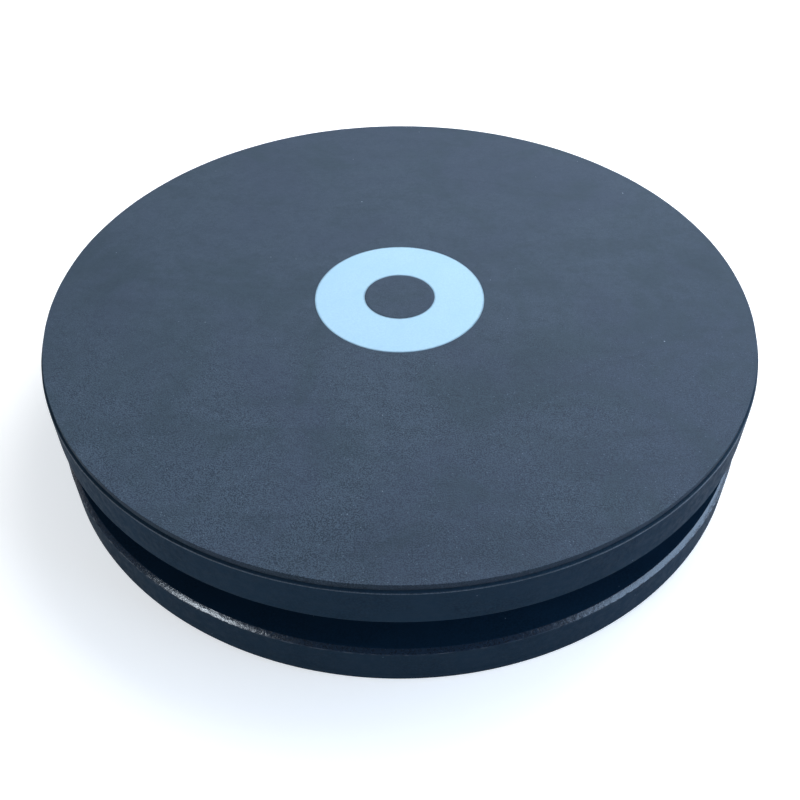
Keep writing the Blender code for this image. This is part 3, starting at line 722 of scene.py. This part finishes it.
for _, deg in CORNERS:
    x, y = polar(BOLT_AT, deg)
    cutters.append(lathe("c", [(0, -1), (6.4, -1), (6.4, Z_BASE0 + 0.1), (6.0, Z_BASE0 + 0.5), (6.0, 8.0), (3.4, 8.0), (3.4, Z_LOW_FLANGE0 + 1), (0, Z_LOW_FLANGE0 + 1)], 36, shift(x, y)))
for k in range(6):
    c = centre(f"rubber_foot_{k + 1}")
    cutters.append(lathe("c", [(0, -1), (14.5, -1), (14.5, 2.8), (0, 2.8)], 64, shift(c.x, c.y)))
boolean(base_disc, merged(cutters, "c"), material_index=1)
# torn fibres along the chamfer, and a side that is sanded nearly true
slope = Vector((CHAMFER_Z, CHAMFER_R)).normalized()
for v in base_disc.data.vertices:
    x, y, z = v.co / MM
    r = math.hypot(x, y)
    if r < PLATE_R - 4.0:
        continue
    d, h = 0.0, 0.0
    if z < outer[1] - 0.05:
        d = 0.05 * wobble(x, y, z, 33.0, 5.0) + 0.03 * wobble(x, y, z * 2, 8.0, 6.0) - 0.05
    elif r > inner[0] - 0.45 and z > outer[1] - 0.05:
        across = (z - outer[1]) / CHAMFER_Z
        rough = 0.045 * wobble(x, y, z * 1.3, 2.6, 7.0) + 0.022 * wobble(x, y, z, 1.35, 8.0) + 0.04 * wobble(x, y, z, 12.0, 9.0)
        inwards = 0.12 + 0.05 * wobble(x, y, 0, 21.0, 10.0)
        edge = math.sin(math.pi * min(max(across, 0.0), 1.0)) ** 0.5
        push = (rough - inwards) * (0.45 + 0.55 * edge)
        d, h = push * slope.x, push * slope.y
        if across < 0.08:
            h += 0.16 * wobble(x, y, 0, 5.0, 11.0) + 0.14 * wobble(x, y, 0, 1.9, 12.0)
            h = min(h, 0.35)
    k = (r + d) / r
    v.co = Vector((x * k, y * k, min(z + h, Z_BASE1))) * MM
smooth(base_disc, 50)
stands(base_disc, "base", "black_painted_board", "base_plate")

# ---- mat ----------------------------------------------------------------------------------------
rings = [198.0, 195.0, 190.0, 183.0, 175.0, 165.0, 153.0, 140.0, 126.0, 112.0, 98.0, 84.0, 70.0, 58.0, 51.0]
seat = Z_MARK0 - 0.25
outline = (
    [(0, Z_MAT0 - 0.12), (MAT_R - 5, Z_MAT0 - 0.12)]
    + soften([(MAT_R - 5, Z_MAT0 - 0.12), (MAT_R - 0.25, Z_MAT0 - 0.12, 0.25), (MAT_R, Z_MAT0 + 0.5), (MAT_R, Z_MAT1 - 1.4), (MAT_R, Z_MAT1, 0.28), (MAT_R - 1.2, Z_MAT1)], steps=4)[1:]
    + [(r, Z_MAT1) for r in rings[1:]]
    + soften([(51.0, Z_MAT1), (MARK_R + 0.16, Z_MAT1, 0.12), (MARK_R + 0.16, seat), (MARK_RI - 0.16, seat), (MARK_RI - 0.16, Z_MAT1, 0.12), (MARK_RI - 2.0, Z_MAT1)], steps=2)[1:]
    + [(10.0, Z_MAT1), (0, Z_MAT1)]
)
spans = [0 if min(z0, z1) > Z_MAT1 - 0.16 or max(r0, r1) < MAT_R - 1 else 1 for (r0, z0), (r1, z1) in zip(outline, outline[1:] + outline[:1])]
mat = piece("mat", lathe("mat", outline, 480, slots=spans), M_MAT, M_MAT_EDGE_SHADED)
for v in mat.data.vertices:
    x, y, z = v.co / MM
    r = math.hypot(x, y)
    d = h = 0.0
    if z > Z_MAT1 - 0.6 and r > MARK_R + 2.0:
        h = 0.05 * wobble(x, y, 0, 26.0, 13.0) + 0.03 * wobble(x, y, 0, 9.0, 14.0) - 0.06
    if r > MAT_R - 1.3:
        # cut with a knife round a template: the edge wanders a little and isn't stuck down evenly
        d = 0.13 * wobble(x, y, 0, 42.0, 15.0) + 0.06 * wobble(x, y, 0, 12.0, 16.0) - 0.12
        d += 0.04 * wobble(x, y, z * 3.0, 4.0, 17.0)
        if z < Z_MAT0 + 0.4:
            h = 0.05 * wobble(x, y, 0, 30.0, 18.0)
    k = (r + d) / r if r > 1 else 1.0
    v.co = Vector((x * k, y * k, min(z + h, Z_MAT1))) * MM
smooth(mat, 40)
stands(mat, "platform", "slate_blue_mat", "top_mat")

# ---- centre mark ----------------------------------------------------------------------------------
outline = soften(
    [(MARK_RI, Z_MARK0), (MARK_R, Z_MARK0), (MARK_R, Z_MAT1 - 0.03, 0.14), (MARK_RI, Z_MAT1 - 0.03, 0.14)], steps=3, closed=True
)
rows = []
for i, p in enumerate(outline):
    rows.append(p)
    q = outline[(i + 1) % len(outline)]
    if p[1] > Z_MAT1 - 0.2 and q[1] > Z_MAT1 - 0.2 and abs(p[0] - q[0]) > 5:
        rows += [(p[0] + (q[0] - p[0]) * k / 8, p[1]) for k in range(1, 8)]
mark = piece("centre_ring_mark", lathe("centre_ring_mark", rows, 256), M_MARK)
for v in mark.data.vertices:
    x, y, z = v.co / MM
    r = math.hypot(x, y)
    if z > Z_MAT1 - 0.2:
        z += 0.012 * wobble(x, y, 0, 7.0, 19.0)
    d = 0.035 * wobble(x, y, 0, 5.0, 20.0)
    v.co = Vector((x * (r + d) / r, y * (r + d) / r, min(z, Z_MAT1))) * MM
smooth(mark, 40)
stands(mark, "platform", "pale_blue_print", "centre_mark")

# ---- rubber feet -----------------------------------------------------------------------------------
outline = soften(
    [
        (0, 0.5), (3.0, 0.5, 0.2), (3.6, 0.0, 0.2), (5.6, 0.0, 0.2), (6.1, 0.45, 0.15), (6.9, 0.45, 0.15), (7.4, 0.0, 0.2), (9.2, 0.0, 0.2),
        (9.7, 0.45, 0.15), (10.5, 0.45, 0.15), (11.0, 0.0, 0.2), (12.9, 0.0, 0.5), (14.0, 1.1, 0.5), (14.0, 2.5, 0.3), (0, 2.5),
    ],
    steps=2,
)
for k in range(6):
    c = centre(f"rubber_foot_{k + 1}")
    o = piece(f"foot_pad_{k + 1}", lathe("foot_pad", outline, 72, shift(c.x, c.y)), M_RUBBER)
    smooth(o)
    stands(o, "base", "black_rubber", f"rubber_foot_{k + 1}")

# ---- yokes --------------------------------------------------------------------------------------------
LUG_IN, LUG_OUT, LUG_R = 16.0, 26.0, 12.0


def yoke(name, node, body, turn, up):
    """Flange with two lugs. up is 1 for the lower yoke and -1 for the upper one; turn puts its lugs on X or on Y."""
    f0, f1 = (Z_LOW_FLANGE0, Z_LOW_FLANGE1) if up > 0 else (Z_UP_FLANGE0, Z_UP_FLANGE1)
    o = piece(name, lathe(name, soften([(0, f0), (FLANGE_R, f0, 0.8), (FLANGE_R, f1, 0.8), (0, f1)], steps=3), 128), M_COAT)
    foot = (f1 - 2.0 if up > 0 else f0 + 2.0) - Z_PIVOT
    half = [(16.5, foot)]
    # the lug's flank runs in to the eye in a soft curve
    for k in range(0, 9):
        t = k / 8
        s = t * t * (3 - 2 * t)
        half.append((16.5 + (LUG_R - 16.5) * s, up * (-15.3 + (15.3 - 6.5) * t)))
    side = half + [(LUG_R, 0.0)]
    eye = [(LUG_R * math.cos(math.pi * k / 24), up * LUG_R * math.sin(math.pi * k / 24)) for k in range(1, 24)]
    loop = side + eye + [(-x, y) for x, y in reversed(side)]
    stand = Matrix(((0, 0, 1, 0), (1, 0, 0, 0), (0, 1, 0, 0), (0, 0, 0, 1)))
    here = shift(0, 0, Z_PIVOT) @ about_z(turn)
    for low, high in ((LUG_IN, LUG_OUT), (-LUG_OUT, -LUG_IN)):
        boolean(o, prism("lug", loop, low, high, here @ stand), "UNION")
    tools = [lathe("bore", [(0, -LUG_OUT - 3), (9.0, -LUG_OUT - 3), (9.0, LUG_OUT + 3), (0, LUG_OUT + 3)], 64, here @ ALONG_X)]
    for _, deg in CORNERS:
        x, y = polar(BOLT_AT, deg)
        tools.append(lathe("hole", [(0, f0 - 1), (3.4, f0 - 1), (3.4, f1 + 1), (0, f1 + 1)], 32, shift(x, y)))
    boolean(o, merged(tools, "tools"))
    bevel(o, 0.45, 2, 40)
    smooth(o, 35)
    return stands(o, body, "black_coated_steel", node)


yoke("base_yoke", "lower_yoke", "base", 0, 1)
yoke("platform_yoke", "upper_yoke", "platform", 90, -1)

# ---- bushes and shoulder screws ------------------------------------------------------------------------
bush_outline = soften(
    [
        (6.62, LUG_OUT - 0.2, 0.3), (6.62, LUG_IN - 1.6, 0.3), (11.0, LUG_IN - 1.6, 0.35), (11.0, LUG_IN - 0.3, 0.25),
        (8.9, LUG_IN - 0.3), (8.9, LUG_OUT - 0.2, 0.35),
    ],
    steps=3,
    closed=True,
)
knurl = []
for k in range(7):
    z = LUG_OUT + 1.15 + k * 0.38
    knurl += [(10.0, z - 0.08), (9.86, z + 0.11)]
screw_outline = (
    [(0, 6.5)]
    + soften([(0, 6.5), (3.3, 6.5), (4.0, 7.2, 0.15), (4.0, 14.3), (6.5, 14.3, 0.3), (6.5, LUG_OUT + 0.4), (10.0, LUG_OUT + 0.4, 0.3), (10.0, LUG_OUT + 0.9)], steps=3)[1:]
    + knurl
    + soften([(10.0, LUG_OUT + 3.7), (10.0, LUG_OUT + 4.2, 0.45), (0, LUG_OUT + 4.2)], steps=3)[1:]
)
for side, deg in SIDES:
    holder, word = ("base", "lower") if side in ("right", "left") else ("platform", "upper")
    spin = shift(0, 0, Z_PIVOT) @ about_z(deg) @ ALONG_X
    o = piece(f"{word}_bush_ring_{side}", lathe("bush", bush_outline, 80, spin), M_BRONZE)
    smooth(o)
    stands(o, holder, "sintered_bronze", f"{word}_bush_{side}")
    o = piece(f"shoulder_screw_{side}", lathe("shoulder_screw", screw_outline, 80, spin), M_ZINC)
    boolean(o, prism("hex", hexagon(6.0), LUG_OUT + 1.6, LUG_OUT + 6, spin))
    smooth(o, 28)
    stands(o, "cross", "zinc_plated_steel", f"pivot_screw_{side}")

# ---- cross block --------------------------------------------------------------------------------------------
low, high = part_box("cross_block")
bm = bmesh.new()
bmesh.ops.create_cube(bm, size=1.0)
bmesh.ops.scale(bm, vec=high - low, verts=bm.verts)
bmesh.ops.translate(bm, verts=bm.verts, vec=(low + high) / 2)
bmesh.ops.bevel(bm, geom=list(bm.edges), offset=2.0 * MM, segments=4, profile=0.5, affect="EDGES")
mesh = bpy.data.meshes.new("cross_body")
bm.to_mesh(mesh)
bm.free()
block = piece("cross_body", mesh, M_COAT)
tools = []
for _, deg in SIDES:
    tools.append(lathe("t", [(0, 5.6), (4.3, 5.6), (4.3, 13.6), (4.9, 14.3), (4.9, 17), (0, 17)], 48, shift(0, 0, Z_PIVOT) @ about_z(deg) @ ALONG_X))
for tool in tools:
    boolean(block, tool)
# a lubricating nipple's hole on top, with its rim
boolean(block, lathe("t", [(0, Z_PIVOT + 8), (1.6, Z_PIVOT + 8), (1.6, Z_PIVOT + 11.6), (2.1, Z_PIVOT + 12.2), (2.1, Z_PIVOT + 14), (0, Z_PIVOT + 14)], 32))
smooth(block, 30)
stands(block, "cross", "black_coated_steel", "cross_block")

# ---- flange bolts and inserts ---------------------------------------------------------------------------------


def threads(radius, depth, start, end, pitch=1.0):
    """Crests and roots of a thread, drawn as rings."""
    made, z = [], start
    while z + pitch < end:
        made += [(radius, z + 0.12 * pitch), (radius - depth, z + 0.5 * pitch), (radius, z + 0.88 * pitch)]
        z += pitch
    return made


low_head = [(0, 1.7), (4.45, 1.7), (5.0, 2.25), (5.0, 7.4), (4.75, 7.7), (3.0, 7.7)]
low_bolt = low_head + threads(3.0, 0.45, 11.0, Z_LOW_FLANGE1 - 0.8) + [(3.0, Z_LOW_FLANGE1 - 0.8), (2.5, Z_LOW_FLANGE1 - 0.3), (0, Z_LOW_FLANGE1 - 0.3)]
z0 = Z_UP_FLANGE0
up_head = [(0, z0 - 4.3), (4.45, z0 - 4.3), (5.0, z0 - 3.75), (5.0, z0 - 0.6), (4.75, z0 - 0.3), (3.0, z0 - 0.3)]
up_bolt = up_head + threads(3.0, 0.45, z0 + 5.6, z0 + 13.4) + [(3.0, z0 + 13.4), (2.5, z0 + 14.0), (0, z0 + 14.0)]
z1 = Z_UP_FLANGE1 + 0.3
insert_outline = (
    [(3.4, z1 + 9.6), (3.4, z1)]
    + [(4.7, z1), (5.0, z1 + 0.3)]
    + [p for k in range(4) for p in ((5.0, z1 + 1.0 + 2.1 * k), (4.65, z1 + 1.4 + 2.1 * k), (4.65, z1 + 1.9 + 2.1 * k), (5.0, z1 + 2.3 + 2.1 * k))]
    + [(5.0, z1 + 9.3), (4.7, z1 + 9.6)]
)
for corner, deg in CORNERS:
    x, y = polar(BOLT_AT, deg)
    o = piece(f"base_socket_screw_{corner}", lathe("screw", low_bolt, 48, shift(x, y)), M_ZINC)
    boolean(o, prism("hex", hexagon(5.0), 0.5, 4.6, shift(x, y)))
    smooth(o, 28)
    stands(o, "base", "zinc_plated_steel", f"lower_yoke_bolt_{corner}")
    o = piece(f"platform_socket_screw_{corner}", lathe("screw", up_bolt, 48, shift(x, y)), M_ZINC)
    boolean(o, prism("hex", hexagon(5.0), z0 - 6, z0 - 1.6, shift(x, y)))
    smooth(o, 28)
    stands(o, "platform", "zinc_plated_steel", f"upper_yoke_bolt_{corner}")
    o = piece(f"insert_sleeve_{corner}", lathe("insert", insert_outline, 48, shift(x, y)), M_BRONZE)
    smooth(o, 28)
    stands(o, "platform", "sintered_bronze", f"threaded_insert_{corner}")

# ---- rubber springs, their plates and nuts -----------------------------------------------------------------------
SPRING_R, SPRING_WAIST = 17.0, 15.0
S0, S1 = Z_BASE1 + 0.05, Z_TOP0 - 0.05


def spring_radius(z):
    """The spring's radius at height z: flat ends and one smooth waist between them."""
    t = (z - S0) / (S1 - S0)
    flat = 0.10
    u = min(max((t - flat) / (1 - 2 * flat), 0.0), 1.0)
    return SPRING_R - (SPRING_R - SPRING_WAIST) * math.sin(math.pi * u)


def spring_part(name, x, y, z_low, z_high):
    """The stretch of the spring from z_low to z_high; a cut end is a groove's floor."""
    rows = [(0, z_low)]
    r_low, r_high = spring_radius(z_low), spring_radius(z_high)
    inner_low = z_low > S0 + 1
    inner_high = z_high < S1 - 1
    if inner_low:
        rows += [(r_low - 1.1, z_low), (r_low - 0.95, z_low + 0.28), (r_low - 0.25, z_low + 0.62)]
    else:
        rows += [(r_low - 0.55, z_low), (r_low - 0.15, z_low + 0.18), (r_low, z_low + 0.6)]
    start, end = z_low + 1.0, z_high - 1.0
    count = max(3, round((end - start) / 0.8))
    for k in range(count + 1):
        z = start + (end - start) * k / count
        rows.append((spring_radius(z), z))
    if inner_high:
        rows += [(r_high - 0.25, z_high - 0.62), (r_high - 0.95, z_high - 0.28), (r_high - 1.1, z_high)]
    else:
        rows += [(r_high, z_high - 0.6), (r_high - 0.15, z_high - 0.18), (r_high - 0.55, z_high)]
    rows.append((0, z_high))
    mesh = lathe(name, rows, 96, shift(x, y))
    for v in mesh.vertices:
        px, py, pz = v.co / MM
        dx, dy = px - x, py - y
        r = math.hypot(dx, dy)
        if r > 3 and min(pz - z_low, z_high - pz) > 0.3:
            # the moulding's parting line stands a little proud on two sides
            seam = max(0.0, 1.0 - abs(dx * 0.7071 - dy * 0.7071) / 0.5)
            k = (r + 0.05 * wobble(px, py, pz, 6.0, 21.0) + 0.14 * seam) / r
            v.co = Vector((x + dx * k, y + dy * k, pz)) * MM
    return mesh


low_plate = soften(
    [(0, 1.9), (3.4, 1.9), (4.0, 2.5), (4.0, Z_BASE1 - 2.5), (18.0, Z_BASE1 - 2.5, 0.4), (18.0, Z_BASE1, 0.5), (0, Z_BASE1)], steps=3
)
stud = [p for p in threads(4.0, 0.5, 2.6, 14.0, 1.25)]
low_plate = [low_plate[0], (3.4, 1.9)] + stud + [(4.0, 14.2)] + low_plate[3:]
up_plate = soften(
    [(0, Z_TOP0), (18.0, Z_TOP0, 0.5), (18.0, Z_TOP0 + 2.5, 0.4), (4.0, Z_TOP0 + 2.5), (4.0, Z_TOP0 + 3.5), (0, Z_TOP0 + 3.5)], steps=3
)
up_plate = up_plate[:-2] + [(4.0, Z_TOP0 + 3.5)] + threads(4.0, 0.5, Z_TOP0 + 4.0, Z_TOP0 + 15.8, 1.25) + [(4.0, Z_TOP0 + 15.8), (3.4, Z_TOP0 + 16.5), (0, Z_TOP0 + 16.5)]
for side, deg in SIDES:
    x, y = polar(SPRING_AT, deg)
    # the joint that works this spring most gets the longer part of it
    if side in ("right", "left"):
        cut = S0 + 0.22 * (S1 - S0)
    else:
        cut = S0 + 0.78 * (S1 - S0)
    o = piece(f"spring_rubber_lower_{side}", spring_part("spring_lower", x, y, S0, cut), M_RUBBER)
    smooth(o, 40, weighted=False)
    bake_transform(o)
    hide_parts(f"rubber_spring_{side}")
    o = piece(f"spring_rubber_upper_{side}", spring_part("spring_upper", x, y, cut, S1), M_RUBBER)
    smooth(o, 40, weighted=False)
    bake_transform(o)
    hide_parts(f"rubber_spring_{side}")
    o = piece(f"spring_foot_plate_{side}", lathe("plate", low_plate, 80, shift(x, y)), M_ZINC)
    smooth(o, 28)
    stands(o, "base", "zinc_plated_steel", f"spring_lower_plate_{side}")
    o = piece(f"spring_head_plate_{side}", lathe("plate", up_plate, 80, shift(x, y)), M_ZINC)
    smooth(o, 28)
    stands(o, "platform", "zinc_plated_steel", f"spring_upper_plate_{side}")
    # hexagon nut with both faces turned down at the corners, on the lower stud
    nut = piece(f"hex_nut_{side}", prism("nut", [(px, py) for px, py in (polar(7.5, 60 * k) for k in range(6))], 2.6, 9.2, shift(x, y)), M_ZINC)
    boolean(nut, lathe("round", [(0, 2.6), (6.55, 2.6), (7.6, 3.2), (7.6, 8.6), (6.55, 9.2), (0, 9.2)], 72, shift(x, y)), "INTERSECT")
    boolean(nut, lathe("bore", [(0, 2), (4.9, 2), (4.9, 2.6), (4.25, 3.3), (4.25, 8.5), (4.9, 9.2), (4.9, 10), (0, 10)], 48, shift(x, y)))
    smooth(nut, 25)
    stands(nut, "base", "zinc_plated_steel", f"spring_nut_{side}")

# ---- rubber stops -----------------------------------------------------------------------------------------------------
Z_STOP0, Z_STOP1 = bottom("rubber_stop_right"), top("rubber_stop_right")
stop_outline = soften(
    [
        (2.7, Z_STOP0 - 0.15), (13.0, Z_STOP0 - 0.15, 0.5), (13.0, Z_STOP0 + 4.0, 1.2), (9.5, Z_STOP0 + 10.5, 1.0),
        (5.5, Z_STOP1 - 0.05, 0.4), (5.5, Z_STOP0 + 4.0, 0.3), (2.7, Z_STOP0 + 4.0),
    ],
    steps=4,
    closed=True,
)
zs = Z_STOP0
screw_outline = (
    [(0, zs - 16.0), (1.2, zs - 14.6)]
    + threads(2.2, 0.5, zs - 14.2, zs - 1.5, 1.1)
    + [(2.2, zs - 1.2), (2.2, zs + 4.3)]
    + soften([(2.2, zs + 4.3), (4.6, zs + 4.3, 0.25), (4.6, zs + 5.6, 0.9), (3.2, zs + 7.1, 1.2), (0, zs + 7.2)], steps=4)[1:]
)
for side, deg in SIDES:
    x, y = polar(STOP_AT, deg)
    o = piece(f"stop_buffer_{side}", lathe("stop_buffer", stop_outline, 96, shift(x, y)), M_RUBBER)
    smooth(o, 35, weighted=False)
    stands(o, "base", "black_rubber", f"rubber_stop_{side}")
    o = piece(f"pan_screw_{side}", lathe("pan_screw", screw_outline, 56, shift(x, y)), M_ZINC)
    for turn in (20, 110):
        bar = [(-2.6, -0.42), (2.6, -0.42), (2.6, 0.42), (-2.6, 0.42)]
        boolean(o, prism("slot", bar, zs + 5.6, zs + 9, shift(x, y) @ about_z(turn)))
    smooth(o, 28)
    stands(o, "base", "zinc_plated_steel", f"stop_screw_{side}")

# ---- studio -----------------------------------------------------------------------------------------------------------
f = Finish("studio_floor", roughness=0.85, specular=0.1)
tint = f.mix(f.between(f.noise(3.0, 2.0), 0.3, 0.7), (0.730, 0.735, 0.740), (0.755, 0.757, 0.760))
f.put("Base Color", tint)
f.put("Emission Color", (0.97, 0.985, 1.0))
f.put("Emission Strength", 0.52)
bm = bmesh.new()
bmesh.ops.create_grid(bm, x_segments=16, y_segments=16, size=60.0)
bmesh.ops.translate(bm, verts=bm.verts, vec=(0, 0, -0.00015))
mesh = bpy.data.meshes.new("studio_floor")
bm.to_mesh(mesh)
bm.free()
floor = piece("studio_floor", mesh, f.material)
floor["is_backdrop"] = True


def softbox(name, direction, distance, size, radiance, colour, spread=180.0):
    """An area light of that radiance, out along direction = (azimuth, elevation) and facing the pad."""
    data = bpy.data.lights.new(name, "AREA")
    data.shape = "RECTANGLE"
    data.size, data.size_y = size
    data.energy = radiance * math.pi * size[0] * size[1]
    data.color = colour
    data.spread = math.radians(spread)
    o = bpy.data.objects.new(name, data)
    bpy.context.scene.collection.objects.link(o)
    az, el = (math.radians(a) for a in direction)
    o.location = Vector((math.cos(az) * math.cos(el), math.sin(az) * math.cos(el), math.sin(el))) * distance + Vector((0, 0, 0.04))
    o.rotation_euler = (Vector((0, 0, 0.04)) - o.location).to_track_quat("-Z", "Y").to_euler()
    return o


softbox("key", (52, 56), 1.00, (0.7, 0.7), 6.3, (1.0, 0.985, 0.965))
softbox("right_window", (-8, 22), 1.6, (1.66, 0.74), 7.0, (0.5, 0.71, 1.0))
softbox("left_lamp", (-142, 23), 1.4, (0.40, 0.16), 36.0, (0.80, 0.90, 1.0))
world = bpy.data.worlds.new("studio_world")
world.use_nodes = True
tree = world.node_tree
background = tree.nodes["Background"]
background.inputs[0].default_value = (0.90, 0.94, 1.0, 1.0)
# pale all round, with a dark flag hung high to the front and left of the pad
az, el = math.radians(-126), math.radians(34)
flag = Vector((math.cos(az) * math.cos(el), math.sin(az) * math.cos(el), math.sin(el)))


def world_node(kind, *inputs):
    n = tree.nodes.new(kind)
    for i, v in enumerate(inputs):
        if isinstance(v, bpy.types.NodeSocket):
            tree.links.new(v, n.inputs[i])
        elif v is not None:
            n.inputs[i].default_value = v
    return n


sky = world_node("ShaderNodeTexCoord").outputs["Generated"]
toward = world_node("ShaderNodeVectorMath", sky, tuple(flag))
toward.operation = "DOT_PRODUCT"
rise = world_node("ShaderNodeSeparateXYZ", sky).outputs[2]
inside = world_node("ShaderNodeMapRange", toward.outputs["Value"], 0.24, 0.56, 0.0, 1.0)
above = world_node("ShaderNodeMapRange", rise, 0.02, 0.12, 0.0, 1.0)
inside.interpolation_type = above.interpolation_type = "SMOOTHSTEP"
both = world_node("ShaderNodeMath", inside.outputs[0], above.outputs[0])
both.operation = "MULTIPLY"
strength = world_node("ShaderNodeMapRange", both.outputs[0], 0.0, 1.0, 0.64, 0.10)
looked_at = world_node("ShaderNodeLightPath").outputs["Is Camera Ray"]
plain = world_node("ShaderNodeMapRange", looked_at, 0.0, 1.0, strength.outputs[0], 0.86)
tree.links.new(plain.outputs[0], background.inputs[1])
bpy.context.scene.world = world

# ---- camera -------------------------------------------------------------------------------------------------------------
data = bpy.data.cameras.new("camera")
data.lens = 43.08
data.sensor_width = 36.0
data.clip_start = 0.01
data.clip_end = 50.0
camera = bpy.data.objects.new("camera", data)
bpy.context.scene.collection.objects.link(camera)
camera.matrix_world = (
    Matrix.Translation((0.0, -0.4349, 0.4170)) @ Matrix.Rotation(math.radians(45.73), 4, "X") @ Matrix.Rotation(math.radians(-0.24), 4, "Z")
)
bpy.context.scene.camera = camera

view = bpy.context.scene.view_settings
view.view_transform = "Standard"
view.look = "None"
view.exposure = 0.0
view.gamma = 1.0

low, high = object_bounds()
